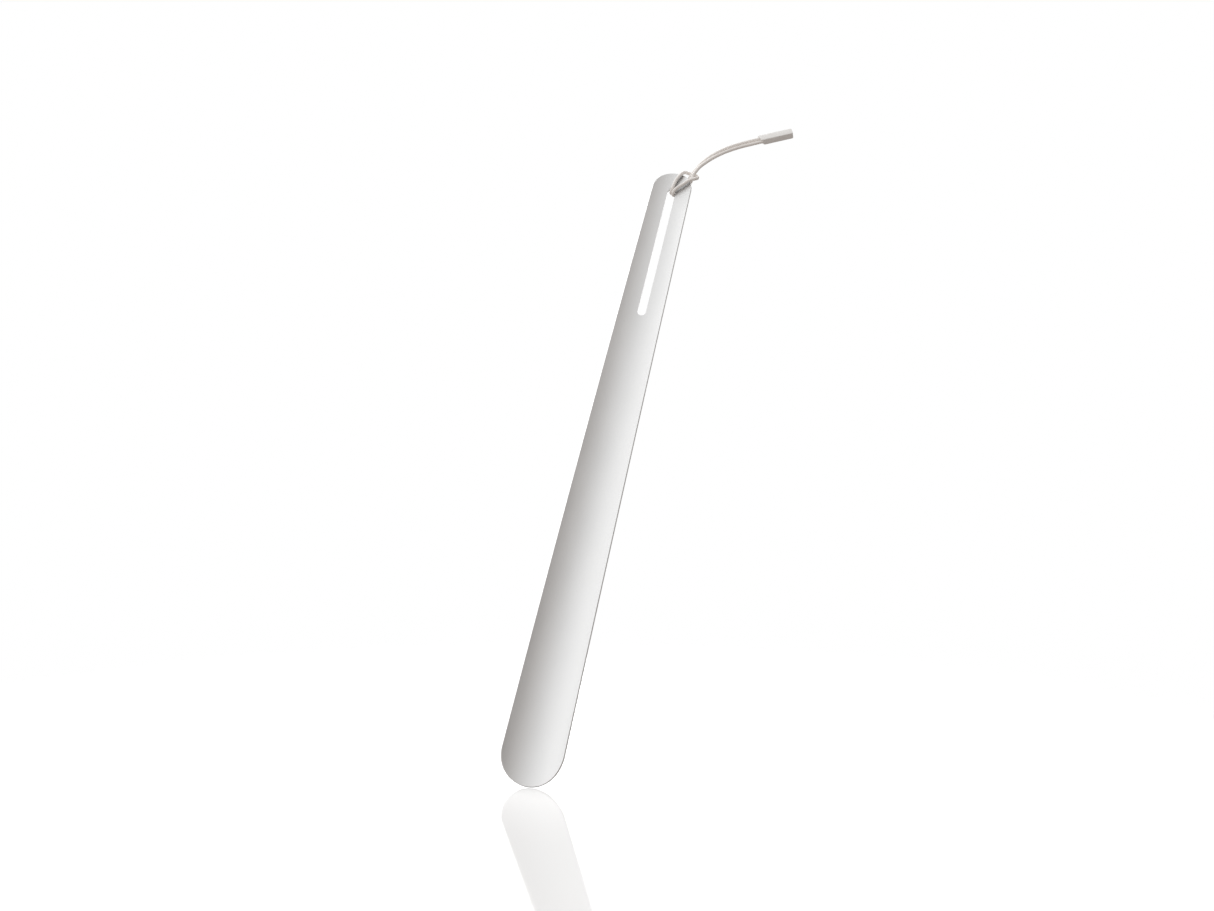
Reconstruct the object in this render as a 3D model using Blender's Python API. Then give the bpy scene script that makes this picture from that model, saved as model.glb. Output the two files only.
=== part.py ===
"""Long shoehorn: a curved metal blade with a hanging slot, and a cord loop hitched through the slot.

Lengths are in metres. +Z runs up the blade, its hollow side faces -Y, and X runs across it. The origin is
the middle of the slot's upper end, where a hook carries the shoehorn.
"""

import math

import bmesh
import bpy
import numpy as np
from mathutils import Matrix, Vector

MM = 0.001

# Blade: one sheet, cut to a tapered outline with a rounded upper and lower end, then rolled to a channel
LENGTH = 0.520
LOWER_WIDTH = 0.047  # measured round the sheet, where the lower end's curve begins
UPPER_WIDTH = 0.031  # the same, where the upper end's curve begins
LOWER_END = 0.023  # height of the half-ellipse that closes the lower end
UPPER_END = 0.0175
THICKNESS = 0.0012
CHANNEL_RADIUS = 0.0355  # of the hollow face
BOW = 0.0045  # how far the blade's middle stands forward of its two ends
ROWS_PER_END = 9
ROWS_PER_RUN = 8  # in each of the two straight stretches, below the slot and beside it
COLUMNS_PER_SIDE = 8

# Slot in the blade's upper part, rounded at both ends
SLOT_WIDTH = 0.0063
SLOT_LENGTH = 0.119
SLOT_MARGIN = 0.016  # metal left between the slot and the blade's upper end
ROWS_PER_SLOT_END = 5

# Cord: one length, doubled, hitched round the metal above the slot, with both ends in the tag
CORD_DIAMETER = 0.0026
CORD_SIDES = 2  # Blender's bevel resolution: 2 makes 8 sides
HITCH_SPACING = 0.0020  # between the points of the tube, in the tight bends of the hitch
TAIL_SPACING = 0.0050
SWING_GAP = 0.0019  # on each side of the loop_swing hinge, so the stretches turn clear of each other
FOLD_GAP = 0.0014  # on each side of the loop_fold hinge

# Route of the cord's centre line in millimetres, from the tag through the hitch and back to the tag.
# Strand a is the lower and front one of the pair, strand b the upper and rear one. Each list starts at the
# last point of the list before it: tail to neck is the loop_fold hinge, neck to hitch is loop_swing.
TAIL_A = [
    (60.6, -0.3, 55.8),
    (55.2, -0.3, 53.2),
    (49.5, -0.3, 50.6),
    (43.5, -0.3, 47.6),
    (37.6, -0.3, 44.1),
    (31.5, -0.5, 39.7),
    (26.1, -0.7, 34.9),
]
NECK_A = [
    (26.1, -0.7, 34.9),
    (20.0, -1.1, 27.9),
    (16.8, -1.3, 23.2),
]
HITCH = [
    (16.8, -1.3, 23.2),
    (14.9, -1.4, 19.0),
    (13.8, -1.4, 15.6),
    (13.3, -0.8, 12.3),
    (12.4, 0.7, 9.3),
    (10.8, 1.5, 6.5),
    (8.3, 2.3, 3.4),
    (5.6, 3.0, 0.5),
    (3.2, 2.8, -2.3),
    (1.6, 0.4, -4.1),
    (1.7, -2.2, -3.4),
    (3.1, -3.4, -1.0),
    (6.0, -3.7, 2.3),
    (9.4, -4.1, 5.4),
    (12.8, -4.7, 8.3),
    (15.8, -4.3, 10.0),
    (17.4, -2.4, 12.3),
    (17.2, 0.6, 15.3),
    (15.5, 3.1, 18.1),
    (12.7, 4.1, 19.7),
    (9.9, 3.2, 19.6),
    (7.6, 0.9, 18.6),
    (5.6, -1.6, 16.3),
    (3.8, -2.6, 13.0),
    (2.1, -2.7, 9.1),
    (1.1, -2.8, 5.2),
    (0.6, -3.0, 1.9),
    (0.0, -2.3, -0.9),
    (-0.4, 0.1, -2.3),
    (0.1, 2.7, -1.2),
    (1.8, 3.4, 1.8),
    (4.8, 3.1, 5.4),
    (7.7, 2.4, 8.9),
    (9.9, 1.8, 12.1),
    (11.2, 1.1, 14.6),
    (12.0, 0.8, 16.6),
    (13.1, 0.8, 19.8),
    (15.0, 0.7, 24.2),
]
NECK_B = [
    (15.0, 0.7, 24.2),
    (18.0, 0.4, 29.4),
    (24.1, 0.1, 36.9),
]
TAIL_B = [
    (24.1, 0.1, 36.9),
    (29.7, -0.1, 42.0),
    (36.0, -0.3, 46.6),
    (42.1, -0.3, 50.2),
    (48.3, -0.3, 53.4),
    (54.0, -0.3, 56.1),
    (59.4, -0.3, 58.6),
]

# Tag: a small moulded bar that both ends of the cord go into
TAG_LENGTH = 0.025
TAG_WIDTH = 0.0065
TAG_DEPTH = 0.0054
TAG_CORNER = 0.0012
TAG_EDGE = 0.0004
TAG_MOUTH = Vector((60.0, -0.3, 57.2)) * MM  # the middle of the face that the cord enters
TAG_SLOPE = math.radians(24.2)  # of its length above the horizontal, in the plane of the loop
TAG_TWIST = math.radians(-15)  # round its own length, so its front face looks up a little
MOUTH_SHIFT = -0.0006  # of the mouth's middle, along the tag
MOUTH_SLANT = Vector((0, 0.20, -0.42))  # how far the mouth moves along the tag for each step behind and above
CORD_A_STOP = 0.0009  # how far before the slanted mouth each strand stops
CORD_B_STOP = 0.0023


def finish(name, color, roughness, metallic=0.0):
    """A plain material for one sub-part."""
    material = bpy.data.materials.new(name)
    material.use_nodes = True
    shader = material.node_tree.nodes["Principled BSDF"]
    shader.inputs["Base Color"].default_value = (*color, 1.0)
    shader.inputs["Roughness"].default_value = roughness
    shader.inputs["Metallic"].default_value = metallic
    material.diffuse_color = (*color, 1.0)
    return material


def new_object(name, data, material):
    """Links an object with one material to the scene."""
    made = bpy.data.objects.new(name, data)
    made.data.materials.append(material)
    bpy.context.scene.collection.objects.link(made)
    return made


def half_width(height):
    """Half the flat sheet's width at a height above the blade's lowest point."""
    straight = LENGTH - LOWER_END - UPPER_END
    share = min(max((height - LOWER_END) / straight, 0.0), 1.0)
    width = (LOWER_WIDTH + (UPPER_WIDTH - LOWER_WIDTH) * share) / 2
    below = max(LOWER_END - height, 0.0) / LOWER_END
    above = max(height - (LENGTH - UPPER_END), 0.0) / UPPER_END
    return width * math.sqrt(max(1.0 - below**2 - above**2, 0.0))


def slot_half_width(height):
    """Half the slot's width at a height above the blade's lowest point, or 0 outside the slot."""
    top = LENGTH - SLOT_MARGIN
    radius = SLOT_WIDTH / 2
    low_centre, high_centre = top - SLOT_LENGTH + radius, top - radius
    past = max(low_centre - height, height - high_centre, 0.0)
    return math.sqrt(max(radius**2 - past**2, 0.0))


def quarter(start, end, count):
    """Heights from start to end, spaced as on a quarter circle so that they crowd at the start."""
    angles = [math.pi / 2 * i / count for i in range(count)]
    return [start + (end - start) * (1 - math.cos(angle)) for angle in angles]


def run(start, end, count):
    """Evenly spaced heights from start up to end, leaving end out."""
    return [start + (end - start) * i / count for i in range(count)]


def blade_heights():
    """The heights of the blade's rows of points, from its lowest point to its highest."""
    radius = SLOT_WIDTH / 2
    slot_top = LENGTH - SLOT_MARGIN
    slot_bottom = slot_top - SLOT_LENGTH
    rows = quarter(0.0, LOWER_END, ROWS_PER_END)
    rows += run(LOWER_END, slot_bottom, ROWS_PER_RUN)
    rows += quarter(slot_bottom, slot_bottom + radius, ROWS_PER_SLOT_END)
    rows += run(slot_bottom + radius, slot_top - radius, ROWS_PER_RUN)
    rows += reversed(quarter(slot_top, slot_top - radius, ROWS_PER_SLOT_END))
    rows += reversed(quarter(LENGTH, slot_top, ROWS_PER_END))
    return rows


def on_hollow_face(across, height):
    """The rolled sheet's point for a distance round it from its middle line and a height up it."""
    angle = across / CHANNEL_RADIUS
    share = height / LENGTH
    forward = CHANNEL_RADIUS * (1 - math.cos(angle)) + 4 * BOW * share * (1 - share)
    return Vector((CHANNEL_RADIUS * math.sin(angle), -forward, height - LENGTH + SLOT_MARGIN))


def blade(material):
    """The rolled sheet, with its slot."""
    mesh = bmesh.new()
    heights = blade_heights()
    for side in (-1, 1):
        rows = []
        for height in heights:
            inner, outer = slot_half_width(height), half_width(height)
            shares = [column / COLUMNS_PER_SIDE for column in range(COLUMNS_PER_SIDE + 1)]
            row = [on_hollow_face(side * (inner + (outer - inner) * share), height) for share in shares]
            rows.append([mesh.verts.new(point) for point in row])
        for low, high in zip(rows, rows[1:]):
            for column in range(COLUMNS_PER_SIDE):
                corners = [low[column], low[column + 1], high[column + 1], high[column]]
                mesh.faces.new(corners[::side])
    bmesh.ops.remove_doubles(mesh, verts=mesh.verts, dist=1e-6)
    data = bpy.data.meshes.new("blade")
    mesh.to_mesh(data)
    mesh.free()
    data.shade_smooth()
    made = new_object("blade", data, material)
    sheet = made.modifiers.new("sheet", "SOLIDIFY")
    sheet.thickness = THICKNESS
    sheet.offset = -1.0
    return made


def smooth_curve(points):
    """A natural cubic spline through the points: its knots and a function that gives a point on it."""
    through = np.array(points) * MM
    spans = np.linalg.norm(np.diff(through, axis=0), axis=1)
    knots = np.concatenate([[0.0], np.cumsum(spans)])
    slopes = np.diff(through, axis=0) / spans[:, None]
    matrix = np.eye(len(through))
    bends = np.zeros_like(through)
    for i in range(1, len(through) - 1):
        matrix[i, i - 1 : i + 2] = spans[i - 1], 2 * (spans[i - 1] + spans[i]), spans[i]
        bends[i] = 6 * (slopes[i] - slopes[i - 1])
    bends = np.linalg.solve(matrix, bends)

    def at(place):
        i = min(int(np.searchsorted(knots, place, side="right")) - 1, len(spans) - 1)
        span, before, after = spans[i], place - knots[i], knots[i + 1] - place
        ends = (bends[i] * after**3 + bends[i + 1] * before**3) / (6 * span)
        low = (through[i] / span - bends[i] * span / 6) * after
        high = (through[i + 1] / span - bends[i + 1] * span / 6) * before
        return Vector(ends + low + high)

    return knots, at


def tube(name, line, start, end, spacing, material):
    """A plain tube along the cord's line, between two places on it."""
    count = max(2, round((end - start) / spacing) + 1)
    data = bpy.data.curves.new(name, "CURVE")
    data.dimensions = "3D"
    data.bevel_depth = CORD_DIAMETER / 2
    data.bevel_resolution = CORD_SIDES
    data.use_fill_caps = True
    spline = data.splines.new("POLY")
    spline.points.add(count - 1)
    for i, point in enumerate(spline.points):
        point.co = (*line(start + (end - start) * i / (count - 1)), 1.0)
    return new_object(name, data, material)


def cord(material):
    """The cord's five stretches, cut where its two hinges are."""
    stretches = [
        ("cord_tail_a", TAIL_A, TAIL_SPACING, CORD_A_STOP, FOLD_GAP),
        ("cord_neck_a", NECK_A, TAIL_SPACING, FOLD_GAP, SWING_GAP),
        ("cord_hitch", HITCH, HITCH_SPACING, SWING_GAP, SWING_GAP),
        ("cord_neck_b", NECK_B, TAIL_SPACING, SWING_GAP, FOLD_GAP),
        ("cord_tail_b", TAIL_B, TAIL_SPACING, FOLD_GAP, CORD_B_STOP),
    ]
    route = TAIL_A[:1]
    for _, points, *_ in stretches:
        route = route + points[1:]
    knots, line = smooth_curve(route)
    first = 0
    for name, points, spacing, gap_before, gap_after in stretches:
        last = first + len(points) - 1
        tube(name, line, knots[first] + gap_before, knots[last] - gap_after, spacing, material)
        first = last


def tag(material):
    """The bar on the cord's ends: a box with a slanted mouth, rounded corners and eased edges."""
    mesh = bmesh.new()
    bmesh.ops.create_cube(mesh, size=1.0)
    bmesh.ops.scale(mesh, vec=(TAG_LENGTH, TAG_DEPTH, TAG_WIDTH), verts=mesh.verts)
    bmesh.ops.translate(mesh, vec=(TAG_LENGTH / 2, 0, 0), verts=mesh.verts)
    for corner in mesh.verts:
        if corner.co.x < TAG_LENGTH / 2:
            corner.co.x += MOUTH_SHIFT + MOUTH_SLANT.dot(corner.co)
    corners = [e for e in mesh.edges if abs(e.verts[0].co.y - e.verts[1].co.y) > TAG_DEPTH / 2]
    bmesh.ops.bevel(mesh, geom=corners, offset=TAG_CORNER, segments=4, profile=0.5, affect="EDGES")
    data = bpy.data.meshes.new("tag")
    mesh.to_mesh(data)
    mesh.free()
    data.shade_smooth()
    data.set_sharp_from_angle(angle=math.radians(40))
    made = new_object("tag", data, material)
    made.location = TAG_MOUTH
    made.rotation_euler = (TAG_TWIST, -TAG_SLOPE, 0.0)
    eased = made.modifiers.new("eased_edges", "BEVEL")
    eased.width = TAG_EDGE
    eased.segments = 2
    eased.limit_method = "ANGLE"
    eased.angle_limit = math.radians(40)
    return made


def main():
    for old in list(bpy.data.objects):
        bpy.data.objects.remove(old)
    blade(finish("satin_metal", (0.62, 0.62, 0.62), 0.38, 1.0))
    cord(finish("grey_cord", (0.66, 0.64, 0.61), 0.6))
    tag(finish("grey_tag", (0.66, 0.64, 0.62), 0.55))


main()
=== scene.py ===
"""Looks of the long shoehorn: a satin blade, one smooth cord hitched through its slot, and the cord's tag.

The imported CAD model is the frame: +Z runs up the blade, its hollow side faces -Y, and the origin is the
middle of the slot's upper end. Lengths are in metres. The shoehorn stays where the frame has it, so the
room, with its floor, lights and camera, is turned round it to lean the blade back.
"""

import math

import bmesh
import bpy
import numpy as np
from mathutils import Matrix, Vector


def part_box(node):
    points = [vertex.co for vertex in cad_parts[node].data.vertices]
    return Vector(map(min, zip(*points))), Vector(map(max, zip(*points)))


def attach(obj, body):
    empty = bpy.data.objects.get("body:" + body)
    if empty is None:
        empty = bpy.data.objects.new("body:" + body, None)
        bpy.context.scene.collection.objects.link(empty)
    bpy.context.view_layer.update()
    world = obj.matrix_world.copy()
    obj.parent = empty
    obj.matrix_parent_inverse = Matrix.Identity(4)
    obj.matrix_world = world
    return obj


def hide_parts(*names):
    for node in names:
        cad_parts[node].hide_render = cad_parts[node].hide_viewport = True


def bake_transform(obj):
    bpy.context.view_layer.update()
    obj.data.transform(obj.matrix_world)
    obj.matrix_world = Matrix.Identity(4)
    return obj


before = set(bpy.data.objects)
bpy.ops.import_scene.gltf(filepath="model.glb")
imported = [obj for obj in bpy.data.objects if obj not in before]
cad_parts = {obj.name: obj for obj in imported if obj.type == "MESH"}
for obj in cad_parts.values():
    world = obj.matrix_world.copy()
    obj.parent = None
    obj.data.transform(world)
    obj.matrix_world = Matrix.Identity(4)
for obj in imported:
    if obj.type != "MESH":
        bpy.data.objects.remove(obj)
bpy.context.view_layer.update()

MM = 0.001
UP = Vector((0, 0, 1))

# The blade, in sizes shared with the CAD model: its lowest and highest points come from the frame
BLADE_LOW, BLADE_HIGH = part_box("blade")
LENGTH = BLADE_HIGH.z - BLADE_LOW.z
SLOT_MARGIN = BLADE_HIGH.z
LOWER_WIDTH = 0.047
UPPER_WIDTH = 0.031
LOWER_END = 0.023
UPPER_END = 0.0175
THICKNESS = 0.0012
CHANNEL_RADIUS = 0.0355
BOW = 0.0045
SLOT_WIDTH = 0.0063
SLOT_LENGTH = 0.119
EDGE_RADIUS = 0.00015  # of the deburred edges
EDGE_BAND = 0.00025  # a flat band beside them, so that the faces keep their own shading
EDGE_STEPS = 4
COLUMNS = 14  # of faces from the middle line, or the slot, to each side
CAP_ROWS = 12
SLOT_END_ROWS = 9
ROW_SPACING = 0.008
SIDE_SPREAD = 0.004  # how much longer a slot end's stretch of rows is at the blade's side
CAP_CORNER = math.radians(42)  # where each rounded end's grid has its corner, on the half-ellipse

# The cord, with the route of its centre line in millimetres, as the CAD model has it
CORD_DIAMETER = 0.0026
CORD_SIDES = 20
RING_SPACING = 0.00055
HITCH_CUT = 0.0075  # past loop_swing, where the hitch's piece ends and each tail's piece starts
END_STEP = 0.001  # of the line, for the direction that it ends in
CORD_IN_TAG = 0.0028  # how far each end of the cord runs on into the tag
TAIL_A = [
    (60.6, -0.3, 55.8),
    (55.2, -0.3, 53.2),
    (49.5, -0.3, 50.6),
    (43.5, -0.3, 47.6),
    (37.6, -0.3, 44.1),
    (31.5, -0.5, 39.7),
    (26.1, -0.7, 34.9),
]
NECK_A = [
    (26.1, -0.7, 34.9),
    (20.0, -1.1, 27.9),
    (16.8, -1.3, 23.2),
]
HITCH = [
    (16.8, -1.3, 23.2),
    (14.9, -1.4, 19.0),
    (13.8, -1.4, 15.6),
    (13.3, -0.8, 12.3),
    (12.4, 0.7, 9.3),
    (10.8, 1.5, 6.5),
    (8.3, 2.3, 3.4),
    (5.6, 3.0, 0.5),
    (3.2, 2.8, -2.3),
    (1.6, 0.4, -4.1),
    (1.7, -2.2, -3.4),
    (3.1, -3.4, -1.0),
    (6.0, -3.7, 2.3),
    (9.4, -4.1, 5.4),
    (12.8, -4.7, 8.3),
    (15.8, -4.3, 10.0),
    (17.4, -2.4, 12.3),
    (17.2, 0.6, 15.3),
    (15.5, 3.1, 18.1),
    (12.7, 4.1, 19.7),
    (9.9, 3.2, 19.6),
    (7.6, 0.9, 18.6),
    (5.6, -1.6, 16.3),
    (3.8, -2.6, 13.0),
    (2.1, -2.7, 9.1),
    (1.1, -2.8, 5.2),
    (0.6, -3.0, 1.9),
    (0.0, -2.3, -0.9),
    (-0.4, 0.1, -2.3),
    (0.1, 2.7, -1.2),
    (1.8, 3.4, 1.8),
    (4.8, 3.1, 5.4),
    (7.7, 2.4, 8.9),
    (9.9, 1.8, 12.1),
    (11.2, 1.1, 14.6),
    (12.0, 0.8, 16.6),
    (13.1, 0.8, 19.8),
    (15.0, 0.7, 24.2),
]
NECK_B = [
    (15.0, 0.7, 24.2),
    (18.0, 0.4, 29.4),
    (24.1, 0.1, 36.9),
]
TAIL_B = [
    (24.1, 0.1, 36.9),
    (29.7, -0.1, 42.0),
    (36.0, -0.3, 46.6),
    (42.1, -0.3, 50.2),
    (48.3, -0.3, 53.4),
    (54.0, -0.3, 56.1),
    (59.4, -0.3, 58.6),
]

# The tag on the cord's ends, as the CAD model has it but for its softer edges
TAG_LENGTH = 0.025
TAG_WIDTH = 0.0065
TAG_DEPTH = 0.0054
TAG_CORNER = 0.0012
TAG_EDGE = 0.00055
TAG_MOUTH = Vector((60.0, -0.3, 57.2)) * MM
TAG_SLOPE = math.radians(24.2)
TAG_TWIST = math.radians(-15)
MOUTH_SHIFT = -0.0006
MOUTH_SLANT = Vector((0, 0.20, -0.42))

# Finishes. Bumps are given by how high they stand.
METAL_COLOUR = (0.82, 0.82, 0.82, 1)
CORD_COLOURS = ((0.90, 0.862, 0.83, 1), (0.925, 0.893, 0.865, 1))
TAG_COLOURS = ((0.875, 0.86, 0.84, 1), (0.90, 0.89, 0.875, 1))
FINE_BUMP = 0.00001
CORD_BUMP = 0.00003
SHADE_REACH = 0.0026  # painted shade: the metal's colour is darker where the cord stands within this distance of it
SHADE_DARKEST = 0.25
SHADE_RANGE = (0.25, 0.90)  # the shares of open space round a point that give the darkest shade, and none

# How the shoehorn stands to the camera: turned about its own length, leant back, then rolled sideways
TURN = math.radians(11.63)
LEAN = math.radians(27.84)
ROLL = math.radians(13.71)
CAMERA_DIP = math.radians(5.35)  # how far the camera looks down at the floor
TIP_SEEN_AT = Vector((-0.0549, -0.2265, -1.7100))  # the blade's tip from the camera: right, up, back
LENS = 74.13  # millimetres
SENSOR = 36.0  # millimetres wide

# Studio: how bright and of what colour the surroundings are. They go from a dark, warm side to a bright one.
# A region's fade gives how squarely a ray has to look at its middle (1 is straight at it) to see none of it
# and all of it.
BRIGHT_WAY = Vector((-1, 0, 0))
DARK_SIDE = 0.31
BRIGHT_SIDE = 1.28
UNDERSIDE = 0.29
UNDERSIDE_FADE = (-0.35, 0.25)  # against the room's up
BEHIND_WAY = Vector((0, 1, 0))
BEHIND = 0.62
BEHIND_FADE = (0.35, 0.90)
WINDOW_WAY = Vector((-0.45, 0.70, 0.55)).normalized()
WINDOW = 0.75
WINDOW_FADE = (0.60, 0.92)
BACKDROP_WAY = Vector((0, 1, 0.12)).normalized()  # in the room, away from the camera
BACKDROP = 3.0
BACKDROP_FADE = (0.80, 0.92)
WARM_FADE = (-1.0, 0.3)  # from the dark side's colour to the daylight
DARK_SIDE_COLOUR = (1.0, 0.95, 0.91, 1)
UNDERSIDE_COLOUR = (1.0, 0.87, 0.79, 1)
DAYLIGHT = (1.0, 0.999, 0.996, 1)
BLACK = (0, 0, 0, 1)
WHITE = (1.0, 1.0, 1.0, 1)
KEY_WAY = Vector((-0.55, 0.10, 0.83)).normalized()  # from the blade's middle to the key light
KEY_DISTANCE = 5.0
KEY_SIZE = 1.8
KEY_POWER = 42.0
FLOOR_TONE = 0.92
FLOOR_GLOW = 0.22  # painted light: the floor's glow, strongest at the foot
GLOW_REACH = 0.25
FLOOR_RADIUS = 0.62
FLOOR_FADE = (0.55, 0.98)  # shares of the radius between which the floor fades out
FLOOR_GRAZING = (0.82, 0.93)  # how edge-on the floor is where it starts to fade and where it is gone
FLOOR_ROUGHNESS = 0.06
FLOOR_IOR = 1.2

rotation = Matrix.Rotation
blade_to_camera = rotation(TURN, 3, "Y") @ rotation(LEAN, 3, "X") @ rotation(ROLL, 3, "Z")
camera_turn = rotation(math.pi / 2, 3, "X") @ blade_to_camera
room_turn = camera_turn @ rotation(CAMERA_DIP - math.pi / 2, 3, "X")


def add(tree, kind, values=None, **settings):
    """A shader node, with its settings and with each input set to a value or linked to a socket."""
    made = tree.nodes.new(kind)
    for name, value in settings.items():
        setattr(made, name, value)
    for name, value in (values or {}).items():
        if isinstance(value, bpy.types.NodeSocket):
            tree.links.new(value, made.inputs[name])
        else:
            made.inputs[name].default_value = value
    return made


def new_material(name):
    """An empty material: its node tree, its Principled shader and its object coordinates."""
    material = bpy.data.materials.new(name)
    material.use_nodes = True
    tree = material.node_tree
    place = add(tree, "ShaderNodeTexCoord").outputs["Object"]
    return material, tree, tree.nodes["Principled BSDF"], place


def spread(tree, value, low, high):
    """A noise value, which lies about the middle of 0 to 1, spread from low to high."""
    limits = {"Value": value, "From Min": 0.3, "From Max": 0.7, "To Min": low, "To Max": high}
    return add(tree, "ShaderNodeMapRange", limits).outputs["Result"]


def noise(tree, place, scale, detail=2.0, stretch=(1, 1, 1)):
    """Noise with features about 1/scale metres long, stretched along each axis."""
    shares = tuple(1 / s for s in stretch)
    moved = add(tree, "ShaderNodeMapping", {"Vector": place, "Scale": shares}).outputs["Vector"]
    values = {"Vector": moved, "Scale": scale, "Detail": detail}
    return add(tree, "ShaderNodeTexNoise", values).outputs["Fac"]


def product(tree, first, second):
    """Two values multiplied."""
    return add(tree, "ShaderNodeMath", {0: first, 1: second}, operation="MULTIPLY").outputs["Value"]


def mixed(tree, share, first, second):
    """A value or a colour between two others: a Mix node has sockets of each kind under the same names."""
    kind = "RGBA" if tuple in (type(first), type(second)) else "FLOAT"
    made = add(tree, "ShaderNodeMix", {0: share}, data_type=kind)
    result = next(o for o in made.outputs if o.enabled)
    ends = [i for i in made.inputs if i.enabled][1:]
    for socket, value in zip(ends, (first, second)):
        if isinstance(value, bpy.types.NodeSocket):
            tree.links.new(value, socket)
        else:
            socket.default_value = value
    return result


def bump(tree, height, strength, distance, normal=None):
    """A bump made by a height, on top of another one where a normal is given."""
    values = {"Height": height, "Strength": strength, "Distance": distance}
    if normal is not None:
        values["Normal"] = normal
    return add(tree, "ShaderNodeBump", values).outputs["Normal"]


def painted_contact_shade(tree):
    """Painted shade for a base colour: 1 on an open surface, and darker where another surface stands close
    to it.
    """
    space = add(tree, "ShaderNodeAmbientOcclusion", {"Distance": SHADE_REACH}, samples=16).outputs["AO"]
    ends = {"From Min": SHADE_RANGE[0], "From Max": SHADE_RANGE[1], "To Min": SHADE_DARKEST, "To Max": 1.0}
    return add(tree, "ShaderNodeMapRange", {"Value": space, **ends}).outputs["Result"]


def satin_metal():
    """Fine-blasted, clear-anodised aluminium: an even grain, faint rolling lines and faint cloudiness, with
    painted shade where the cord stands close.
    """
    material, tree, shader, place = new_material("satin_metal")
    clouds = noise(tree, place, 60, 3.0, (1, 1, 3))
    grain = noise(tree, place, 5200, 2.0)
    rolled = noise(tree, place, 900, 2.0, (1, 1, 14))
    tone = product(tree, spread(tree, clouds, 0.955, 1.0), spread(tree, grain, 0.975, 1.02))
    # painted shade: the base colour is darkened where the cord stands close to the metal
    tone = product(tree, tone, painted_contact_shade(tree))
    tree.links.new(mixed(tree, tone, BLACK, METAL_COLOUR), shader.inputs["Base Color"])
    tree.links.new(spread(tree, clouds, 0.37, 0.43), shader.inputs["Roughness"])
    shader.inputs["Metallic"].default_value = 1.0
    normal = bump(tree, rolled, 0.1, FINE_BUMP)
    tree.links.new(bump(tree, grain, 0.2, FINE_BUMP, normal), shader.inputs["Normal"])
    return material


def smooth_cord():
    """Smooth, slightly waxy round cord, warm pale grey with a faint lengthwise variation."""
    material, tree, shader, place = new_material("smooth_cord")
    clouds = noise(tree, place, 420, 3.0)
    grain = noise(tree, place, 4200, 3.0)
    tint = mixed(tree, spread(tree, clouds, 0.0, 1.0), *CORD_COLOURS)
    tree.links.new(tint, shader.inputs["Base Color"])
    tree.links.new(spread(tree, clouds, 0.42, 0.55), shader.inputs["Roughness"])
    normal = bump(tree, clouds, 0.08, CORD_BUMP)
    tree.links.new(bump(tree, grain, 0.06, FINE_BUMP, normal), shader.inputs["Normal"])
    return material


def tag_rubber():
    """Matte moulded rubber, warm pale grey, with a fine grain."""
    material, tree, shader, place = new_material("tag_rubber")
    clouds = noise(tree, place, 300, 3.0)
    grain = noise(tree, place, 3600, 2.0)
    tint = mixed(tree, spread(tree, clouds, 0.0, 1.0), *TAG_COLOURS)
    tree.links.new(tint, shader.inputs["Base Color"])
    tree.links.new(spread(tree, clouds, 0.50, 0.62), shader.inputs["Roughness"])
    tree.links.new(bump(tree, grain, 0.1, FINE_BUMP), shader.inputs["Normal"])
    return material


def new_piece(name, mesh, body, material, sharp):
    """Links a mesh to the scene as a piece, smooth but for edges past the sharp angle."""
    for face in mesh.polygons:
        face.use_smooth = True
    mesh.set_sharp_from_angle(angle=sharp)
    mesh.materials.append(material)
    piece = bpy.data.objects.new(name, mesh)
    bpy.context.scene.collection.objects.link(piece)
    if body:
        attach(piece, body)
    return piece


def half_width(height):
    """Half the flat sheet's width at a height above the blade's lowest point."""
    straight = LENGTH - LOWER_END - UPPER_END
    share = min(max((height - LOWER_END) / straight, 0.0), 1.0)
    width = (LOWER_WIDTH + (UPPER_WIDTH - LOWER_WIDTH) * share) / 2
    below = max(LOWER_END - height, 0.0) / LOWER_END
    above = max(height - (LENGTH - UPPER_END), 0.0) / UPPER_END
    return width * math.sqrt(max(1.0 - below**2 - above**2, 0.0))


def blend_rows(inner, outer):
    """Rows of flat points from each inner point straight to its outer one."""
    shares = [i / COLUMNS for i in range(COLUMNS + 1)]
    return [[a + (b - a) * share for share in shares] for a, b in zip(inner, outer)]


def cap_rows(start, side, tip, arc, corner):
    """Rows that close a rounded end. They fill the space between the first row, from start to side, the
    middle line to the tip, and the outline, which is arc(angle) up to the tip at a right angle."""
    shares = [i / COLUMNS for i in range(COLUMNS + 1)]
    opening = outline_angle(side, arc)
    rows = []
    for i in range(1, CAP_ROWS + 1):
        v = i / CAP_ROWS
        row = []
        for u in shares:
            first = start + (side - start) * u
            last = arc(math.pi / 2 + (corner - math.pi / 2) * u)
            middle = start + (tip - start) * v
            edge = arc(opening + (corner - opening) * v)
            corners = (
                start * (1 - u) * (1 - v) + side * u * (1 - v) + tip * (1 - u) * v + arc(corner) * u * v
            )
            row.append(first * (1 - v) + last * v + middle * (1 - u) + edge * u - corners)
        rows.append(row)
    return rows


def outline_angle(point, arc):
    """The angle at which arc(angle) is at the point's height, found by halving."""
    low, high = 0.0, math.pi / 2
    rising = arc(high).y > arc(low).y
    for _ in range(40):
        middle = (low + high) / 2
        if (arc(middle).y < point.y) == rising:
            low = middle
        else:
            high = middle
    return low


def evenly(low, high, spacing):
    """Heights from low to high, both included, about a spacing apart."""
    count = max(1, round((high - low) / spacing))
    return [low + (high - low) * i / count for i in range(count + 1)]


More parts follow.
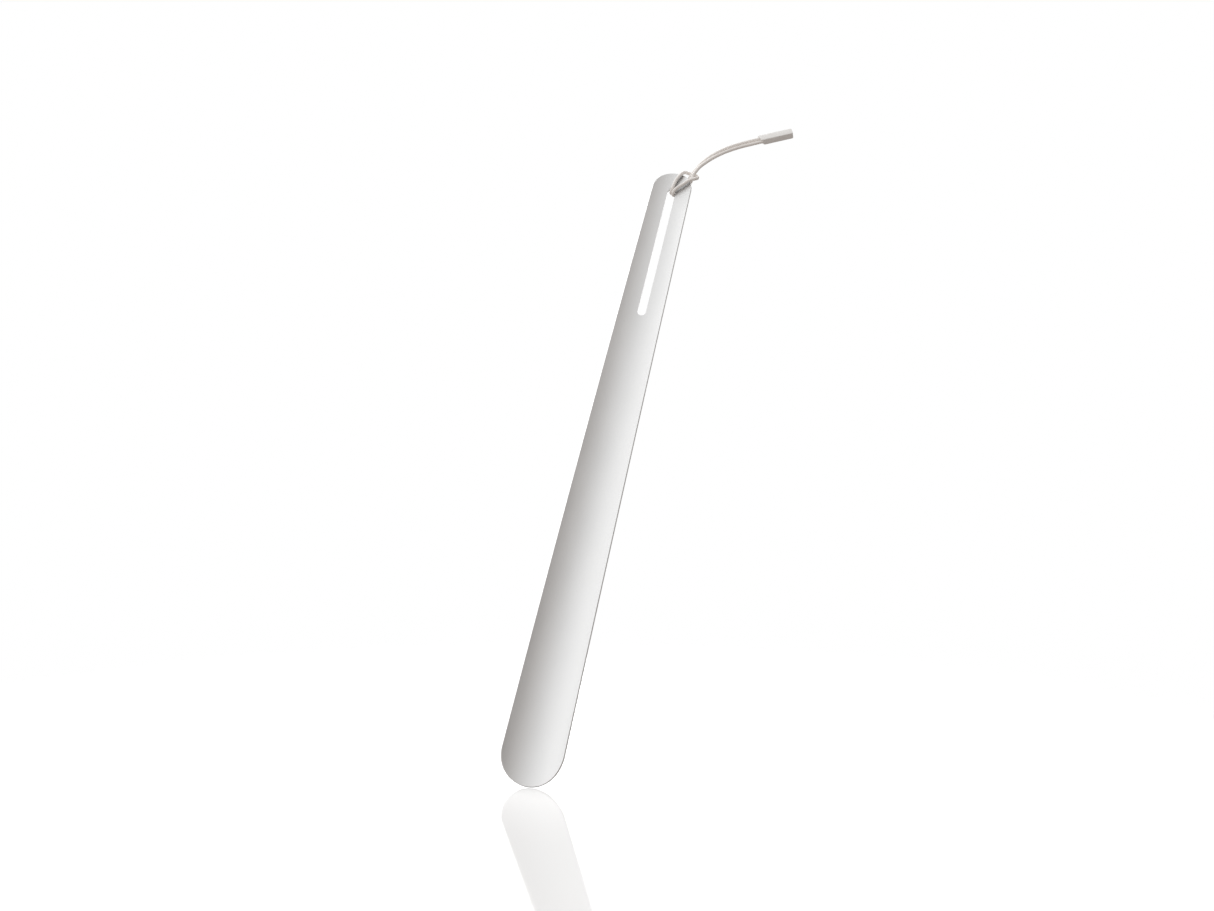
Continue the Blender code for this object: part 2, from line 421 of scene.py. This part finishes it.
def flat_sheet():
    """The cut sheet laid flat, as one grid with the slot in it: x runs across it and y up it."""
    radius = SLOT_WIDTH / 2
    slot_top = LENGTH - SLOT_MARGIN
    slot_low = slot_top - SLOT_LENGTH
    side_top = slot_top + SIDE_SPREAD / 2

    def lower_arc(angle):
        return Vector((LOWER_WIDTH / 2 * math.cos(angle), LOWER_END * (1 - math.sin(angle))))

    def upper_arc(angle):
        height = LENGTH - UPPER_END * (1 - math.sin(angle))
        return Vector((UPPER_WIDTH / 2 * math.cos(angle), height))

    def side(height):
        return Vector((half_width(height), height))

    turns = [math.pi / 2 * i / SLOT_END_ROWS for i in range(SLOT_END_ROWS + 1)]
    low_arc = [Vector((radius * math.sin(t), slot_low + radius * (1 - math.cos(t)))) for t in turns]
    top_arc = [Vector((radius * math.cos(t), slot_top - radius * (1 - math.sin(t)))) for t in turns]
    below = evenly(LOWER_END, slot_low, ROW_SPACING)
    beside = evenly(slot_low + radius, slot_top - radius, ROW_SPACING)
    low_side = slot_low - SIDE_SPREAD
    high_side = slot_low + radius + SIDE_SPREAD
    top_side = slot_top - radius - SIDE_SPREAD

    def outer(heights, low, high):
        """The side's points for a stretch of rows, evenly spread from low to high."""
        return [side(low + (high - low) * i / (len(heights) - 1)) for i in range(len(heights))]

    rows = blend_rows([Vector((0, h)) for h in below], outer(below, LOWER_END, low_side))
    rows += blend_rows(low_arc, outer(low_arc, low_side, high_side))[1:]
    rows += blend_rows([Vector((radius, h)) for h in beside], outer(beside, high_side, top_side))[1:]
    rows += blend_rows(top_arc, outer(top_arc, top_side, side_top))[1:]
    first_middle, last_middle = Vector((0, LOWER_END)), Vector((0, slot_top))
    lower = cap_rows(first_middle, side(LOWER_END), Vector((0, 0)), lower_arc, CAP_CORNER)
    upper = cap_rows(last_middle, side(side_top), Vector((0, LENGTH)), upper_arc, CAP_CORNER)
    rows = list(reversed(lower)) + rows + upper

    mesh = bmesh.new()
    for turned in (-1, 1):
        grid = [[mesh.verts.new((turned * p.x, p.y, 0)) for p in row] for row in rows]
        for low, high in zip(grid, grid[1:]):
            for i in range(COLUMNS):
                corners = [low[i], low[i + 1], high[i + 1], high[i]]
                mesh.faces.new(corners[::turned])
    bmesh.ops.remove_doubles(mesh, verts=mesh.verts, dist=1e-7)
    return mesh


def on_sheet(across, height, depth):
    """The rolled sheet's point for a place on the flat sheet and a depth behind its hollow face."""
    angle = across / CHANNEL_RADIUS
    share = height / LENGTH
    forward = CHANNEL_RADIUS * (1 - math.cos(angle)) + 4 * BOW * share * (1 - share)
    slope = 4 * BOW * (1 - 2 * share) / LENGTH
    face = Vector((CHANNEL_RADIUS * math.sin(angle), -forward, height - LENGTH + SLOT_MARGIN))
    behind = Vector((math.sin(angle), math.cos(angle), slope * math.cos(angle))).normalized()
    return face + behind * depth


def sheet_edge(vert):
    """The direction off the sheet, square to its outline, at a point of the outline."""
    off = Vector((0, 0, 0))
    for edge in vert.link_edges:
        if edge.is_boundary:
            along = edge.verts[1].co - edge.verts[0].co
            square = Vector((along.y, -along.x, 0)).normalized()
            middle = edge.link_faces[0].calc_center_median()
            off += square if square.dot(edge.verts[0].co - middle) > 0 else -square
    return off.normalized()


def blade(material):
    """The rolled sheet: two faces, and the rounded edge that joins them all round and in the slot."""
    flat = flat_sheet()
    flat.verts.index_update()
    quarter = [math.pi / 2 * i / EDGE_STEPS for i in range(EDGE_STEPS + 1)]
    profile = [(EDGE_RADIUS * (1 - math.sin(t)), EDGE_RADIUS * (1 - math.cos(t))) for t in quarter]
    profile += [(inset, THICKNESS - depth) for inset, depth in reversed(profile)]
    outward = {v.index: sheet_edge(v) for v in flat.verts if v.is_boundary}
    points, rings = [], {}
    for depth in (0.0, THICKNESS):
        for vert in flat.verts:
            off = outward.get(vert.index, Vector((0, 0, 0)))
            spot = vert.co - off * (EDGE_RADIUS + EDGE_BAND)
            points.append(on_sheet(spot.x, spot.y, depth))
    behind = len(flat.verts)
    flat.verts.ensure_lookup_table()
    for index, off in outward.items():
        ring = [index]
        for inset, depth in profile:
            spot = flat.verts[index].co - off * inset
            ring.append(len(points))
            points.append(on_sheet(spot.x, spot.y, depth))
        rings[index] = ring + [behind + index]
    faces = []
    for face in flat.faces:
        corners = [v.index for v in face.verts]
        faces.append(corners)
        faces.append([behind + i for i in reversed(corners)])
    for edge in flat.edges:
        if edge.is_boundary:
            loop = edge.link_faces[0].loops
            first = next(x for x in loop if x.edge == edge)
            a, b = rings[first.vert.index], rings[first.link_loop_next.vert.index]
            for i in range(len(a) - 1):
                faces.append([b[i], a[i], a[i + 1], b[i + 1]])
    flat.free()
    mesh = bpy.data.meshes.new("shoehorn_blade")
    mesh.from_pydata(points, [], faces)
    mesh.update()
    piece = new_piece("shoehorn_blade", mesh, "blade", material, math.radians(60))
    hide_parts("blade")


def smooth_curve(points):
    """A natural cubic spline through the points: its knots and a function that gives a point on it."""
    through = np.array(points) * MM
    spans = np.linalg.norm(np.diff(through, axis=0), axis=1)
    knots = np.concatenate([[0.0], np.cumsum(spans)])
    slopes = np.diff(through, axis=0) / spans[:, None]
    matrix = np.eye(len(through))
    bends = np.zeros_like(through)
    for i in range(1, len(through) - 1):
        matrix[i, i - 1 : i + 2] = spans[i - 1], 2 * (spans[i - 1] + spans[i]), spans[i]
        bends[i] = 6 * (slopes[i] - slopes[i - 1])
    bends = np.linalg.solve(matrix, bends)

    def at(place):
        i = min(max(int(np.searchsorted(knots, place, side="right")) - 1, 0), len(spans) - 1)
        span, before, after = spans[i], place - knots[i], knots[i + 1] - place
        ends = (bends[i] * after**3 + bends[i + 1] * before**3) / (6 * span)
        low = (through[i] / span - bends[i] * span / 6) * after
        high = (through[i + 1] / span - bends[i + 1] * span / 6) * before
        return Vector(ends + low + high)

    return knots, at


def rings_along(line, places):
    """Untwisted rings of points round a line, each carried on from the one before it."""
    centres = [line(place) for place in places]
    side = Vector((0, 1, 0))
    rings = []
    for i, centre in enumerate(centres):
        along = (centres[min(i + 1, len(centres) - 1)] - centres[max(i - 1, 0)]).normalized()
        side = (side - along * side.dot(along)).normalized()
        other = along.cross(side)
        turns = [2 * math.pi * k / CORD_SIDES for k in range(CORD_SIDES)]
        radius = CORD_DIAMETER / 2
        rings.append([centre + (side * math.cos(t) + other * math.sin(t)) * radius for t in turns])
    return centres, rings


def tube(name, centres, rings, material):
    """A closed tube through the rings, with flat ends."""
    points = [p for ring in rings for p in ring]
    sides = CORD_SIDES
    faces = [list(reversed(range(sides))), list(range(len(points) - sides, len(points)))]
    for low in range(0, len(points) - sides, sides):
        for k in range(sides):
            after = (k + 1) % sides
            faces.append([low + k, low + after, low + sides + after, low + sides + k])
    mesh = bpy.data.meshes.new(name)
    mesh.from_pydata(points, [], faces)
    mesh.update()
    return new_piece(name, mesh, None, material, math.radians(60))


def cord(material):
    """The one cord as three pieces that meet end to end."""
    route = TAIL_A + NECK_A[1:] + HITCH[1:] + NECK_B[1:] + TAIL_B[1:]
    knots, line = smooth_curve(route)
    swing_a = knots[len(TAIL_A) + len(NECK_A) - 2]
    swing_b = knots[len(TAIL_A) + len(NECK_A) + len(HITCH) - 3]
    total = knots[-1]
    stretches = [
        ("loop_cord_a", -CORD_IN_TAG, swing_a - HITCH_CUT),
        ("hitch_cord", swing_a - HITCH_CUT, swing_b + HITCH_CUT),
        ("loop_cord_b", swing_b + HITCH_CUT, total + CORD_IN_TAG),
    ]

    places, cuts = [], [0]
    for _, start, end in stretches:
        count = round((end - start) / RING_SPACING)
        places += [start + (end - start) * i / count for i in range(0 if not places else 1, count + 1)]
        cuts.append(len(places) - 1)

    def extended(place):
        """The line, carried straight on past its two ends."""
        if place < 0:
            return line(0.0) + (line(0.0) - line(END_STEP)) / END_STEP * -place
        if place > total:
            return line(total) + (line(total) - line(total - END_STEP)) / END_STEP * (place - total)
        return line(place)

    centres, rings = rings_along(extended, places)
    made = {}
    for (name, _, _), first, last in zip(stretches, cuts, cuts[1:]):
        path = centres[first : last + 1]
        made[name] = (tube(name, path, rings[first : last + 1], material), path)

    hitch, _ = made["hitch_cord"]
    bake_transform(hitch)
    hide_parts("cord_hitch", "cord_neck_a", "cord_neck_b")
    for letter in "ab":
        tail, _ = made["loop_cord_" + letter]
        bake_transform(tail)
        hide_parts("cord_tail_" + letter)
    return made


def end_tag(material):
    """The moulded bar: a slanted mouth that the cord's ends go into, rounded corners and eased edges."""
    mesh = bmesh.new()
    bmesh.ops.create_cube(mesh, size=1.0)
    bmesh.ops.scale(mesh, vec=(TAG_LENGTH, TAG_DEPTH, TAG_WIDTH), verts=mesh.verts)
    bmesh.ops.translate(mesh, vec=(TAG_LENGTH / 2, 0, 0), verts=mesh.verts)
    for corner in mesh.verts:
        if corner.co.x < TAG_LENGTH / 2:
            corner.co.x += MOUTH_SHIFT + MOUTH_SLANT.dot(corner.co)
    corners = [e for e in mesh.edges if abs(e.verts[0].co.y - e.verts[1].co.y) > TAG_DEPTH / 2]
    bmesh.ops.bevel(mesh, geom=corners, offset=TAG_CORNER, segments=8, profile=0.5, affect="EDGES")
    rims = [e for e in mesh.edges if e.calc_face_angle(0) > math.radians(60)]
    bmesh.ops.bevel(mesh, geom=rims, offset=TAG_EDGE, segments=4, profile=0.5, affect="EDGES")
    data = bpy.data.meshes.new("end_tag")
    mesh.to_mesh(data)
    mesh.free()
    turned = rotation(-TAG_SLOPE, 4, "Y") @ rotation(TAG_TWIST, 4, "X")
    data.transform(Matrix.Translation(TAG_MOUTH) @ turned)
    piece = new_piece("end_tag", data, "loop_end", material, math.radians(50))
    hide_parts("tag")
    return piece


def surroundings():
    """A studio, white to the camera. All else sees it lit from one side, darker and warmer below, with a
    large soft light high up behind, and glossy surfaces see a white backdrop."""
    world = bpy.data.worlds.new("studio")
    bpy.context.scene.world = world
    world.use_nodes = True
    tree = world.node_tree
    tree.nodes.clear()
    way = add(tree, "ShaderNodeTexCoord").outputs["Generated"]

    def facing(direction, fade, kind="SMOOTHSTEP"):
        """How squarely the ray looks along a direction, from 0 to 1 over the fade."""
        pair = {0: way, 1: direction}
        along = add(tree, "ShaderNodeVectorMath", pair, operation="DOT_PRODUCT").outputs["Value"]
        limits = {"Value": along, "From Min": fade[0], "From Max": fade[1]}
        return add(tree, "ShaderNodeMapRange", limits, interpolation_type=kind).outputs["Result"]

    above = facing(room_turn @ UP, UNDERSIDE_FADE)
    behind = facing(BEHIND_WAY, BEHIND_FADE)
    level = mixed(tree, facing(BRIGHT_WAY, (-1.0, 1.0), "LINEAR"), DARK_SIDE, BRIGHT_SIDE)
    level = mixed(tree, above, UNDERSIDE, level)
    level = mixed(tree, behind, level, BEHIND)
    window = product(tree, facing(WINDOW_WAY, WINDOW_FADE), WINDOW)
    level = add(tree, "ShaderNodeMath", {0: level, 1: window}).outputs["Value"]
    tint = mixed(tree, facing(BRIGHT_WAY, WARM_FADE), DARK_SIDE_COLOUR, DAYLIGHT)
    tint = mixed(tree, above, UNDERSIDE_COLOUR, tint)
    tint = mixed(tree, behind, tint, WHITE)
    rays = add(tree, "ShaderNodeLightPath").outputs
    screen = product(tree, facing(room_turn @ BACKDROP_WAY, BACKDROP_FADE), rays["Is Glossy Ray"])
    shown = mixed(tree, rays["Is Camera Ray"], mixed(tree, screen, level, BACKDROP), 1.0)
    colour = mixed(tree, rays["Is Camera Ray"], tint, WHITE)
    glow = add(tree, "ShaderNodeBackground", {"Color": colour, "Strength": shown})
    add(tree, "ShaderNodeOutputWorld", {"Surface": glow.outputs["Background"]})


def floor_gloss():
    """Glossy white acrylic with a painted glow of light, most at the shoehorn's foot, that fades out away
    from the shoehorn, and isn't seen edge-on or from below.
    """
    material = bpy.data.materials.new("white_acrylic")
    material.use_nodes = True
    tree = material.node_tree
    shader = tree.nodes["Principled BSDF"]
    shader.inputs["Base Color"].default_value = (FLOOR_TONE, FLOOR_TONE, FLOOR_TONE, 1)
    shader.inputs["Roughness"].default_value = FLOOR_ROUGHNESS
    shader.inputs["IOR"].default_value = FLOOR_IOR
    shader.inputs["Emission Color"].default_value = WHITE
    place = add(tree, "ShaderNodeTexCoord").outputs["Object"]
    far = add(tree, "ShaderNodeVectorMath", {0: place}, operation="LENGTH").outputs["Value"]
    # painted light: the floor glows, most at the foot and falling to none at GLOW_REACH
    closeness = {"Value": far, "From Max": GLOW_REACH, "To Min": 1.0, "To Max": 0.0}
    near = add(tree, "ShaderNodeMapRange", closeness).outputs["Result"]
    glow = add(tree, "ShaderNodeMath", {0: near, 1: 3.0}, operation="POWER").outputs["Value"]
    tree.links.new(product(tree, glow, FLOOR_GLOW), shader.inputs["Emission Strength"])

    def eased(value, limits):
        """A value carried from 0 to 1 between its limits."""
        ends = {"Value": value, "From Min": limits[0], "From Max": limits[1]}
        return add(tree, "ShaderNodeMapRange", ends, interpolation_type="SMOOTHSTEP").outputs["Result"]

    gone = eased(far, tuple(share * FLOOR_RADIUS for share in FLOOR_FADE))
    below = add(tree, "ShaderNodeNewGeometry").outputs["Backfacing"]
    edge_on = add(tree, "ShaderNodeLayerWeight", {"Blend": 0.5}).outputs["Facing"]
    grazing = eased(edge_on, FLOOR_GRAZING)
    away = add(tree, "ShaderNodeMath", {0: gone, 1: below}, operation="MAXIMUM").outputs["Value"]
    hidden = add(tree, "ShaderNodeMath", {0: away, 1: grazing}, operation="MAXIMUM").outputs["Value"]
    clear = add(tree, "ShaderNodeBsdfTransparent").outputs["BSDF"]
    faded = add(tree, "ShaderNodeMixShader", {"Fac": hidden, 1: shader.outputs["BSDF"], 2: clear})
    tree.links.new(faded.outputs["Shader"], tree.nodes["Material Output"].inputs["Surface"])
    return material


def floor():
    """A round floor under the blade's foot."""
    mesh = bmesh.new()
    bmesh.ops.create_circle(mesh, cap_ends=True, segments=96, radius=FLOOR_RADIUS)
    data = bpy.data.meshes.new("floor")
    mesh.to_mesh(data)
    mesh.free()
    data.materials.append(floor_gloss())
    made = bpy.data.objects.new("floor", data)
    bpy.context.scene.collection.objects.link(made)
    made.visible_diffuse = made.visible_glossy = False  # so undersides stay in shade
    made.location = foot
    made.rotation_mode = "QUATERNION"
    made.rotation_quaternion = room_turn.to_quaternion()


def key_light():
    """One large soft light, high on the bright side, turned to the middle of the blade."""
    data = bpy.data.lights.new("key", "AREA")
    data.shape = "DISK"
    data.size = KEY_SIZE
    data.energy = KEY_POWER
    made = bpy.data.objects.new("key", data)
    bpy.context.scene.collection.objects.link(made)
    made.location = Vector((0, 0, BLADE_LOW.z / 2)) + KEY_WAY * KEY_DISTANCE
    made.rotation_mode = "QUATERNION"
    made.rotation_quaternion = KEY_WAY.to_track_quat("Z", "Y")


def camera():
    """The camera, placed by where it sees the blade's tip."""
    data = bpy.data.cameras.new("camera")
    data.sensor_width = SENSOR
    data.lens = LENS
    data.clip_start = 0.05
    made = bpy.data.objects.new("camera", data)
    bpy.context.scene.collection.objects.link(made)
    tip = Vector((0, 0, BLADE_LOW.z))
    made.location = tip - camera_turn @ TIP_SEEN_AT
    made.rotation_mode = "QUATERNION"
    made.rotation_quaternion = camera_turn.to_quaternion()
    bpy.context.scene.camera = made


bpy.context.scene.view_settings.view_transform = "Standard"
upward = room_turn @ UP
blade_points = [v.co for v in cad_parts["blade"].data.vertices]
foot = min(blade_points, key=upward.dot).copy()  # where the blade stands on the floor

camera()
cords = cord(smooth_cord())
tag = end_tag(tag_rubber())
blade(satin_metal())
surroundings()
floor()
key_light()
